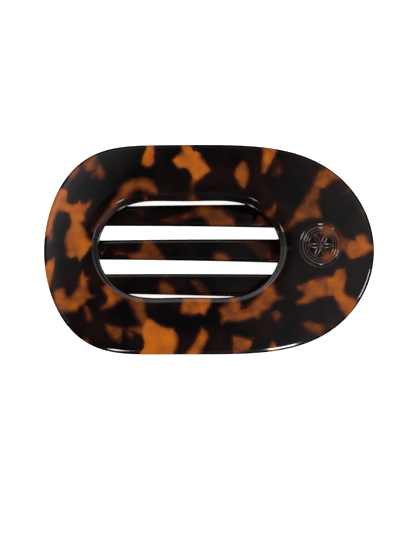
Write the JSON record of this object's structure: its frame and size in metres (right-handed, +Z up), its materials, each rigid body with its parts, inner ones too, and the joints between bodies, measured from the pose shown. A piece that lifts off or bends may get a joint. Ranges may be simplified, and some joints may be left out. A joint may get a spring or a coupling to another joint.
{
  "type": "barrette",
  "caption": "Oval hair barrette: a bowed and domed ring with a thumb pad over a sprung comb jaw of round-tipped fingers, hinged on a steel pin.",
  "frame": {"origin": "middle of the clip's footprint, on the surface that the closed clip lies on, jaw down", "axes": "+X along the clip from the mouth to the thumb pad, +Y across it, +Z up out of the front plate"},
  "size_m": [0.0898, 0.057, 0.0151],
  "materials": {
    "tortoiseshell": "polished dark brown acetate-look plastic with amber patches",
    "pin_steel": "plain drawn steel",
    "spring_steel": "bright nickel-plated spring wire"
  },
  "bodies": {
    "jaw": {"comb_jaw": "tortoiseshell", "torsion_spring": "spring_steel"},
    "front": {"front_plate": "tortoiseshell", "hinge_pin": "pin_steel"}
  },
  "joints": [
    {"name": "jaw_open", "type": "hinge", "parent": "jaw", "child": "front", "pos_m": [0.02439, 0, 0.00896], "axis": [0, 1, 0], "range_deg": [0, 20], "stiffness_Nm_per_rad": 0.25, "springref_deg": -17.19, "deforming": ["torsion_spring"]}
  ]
}
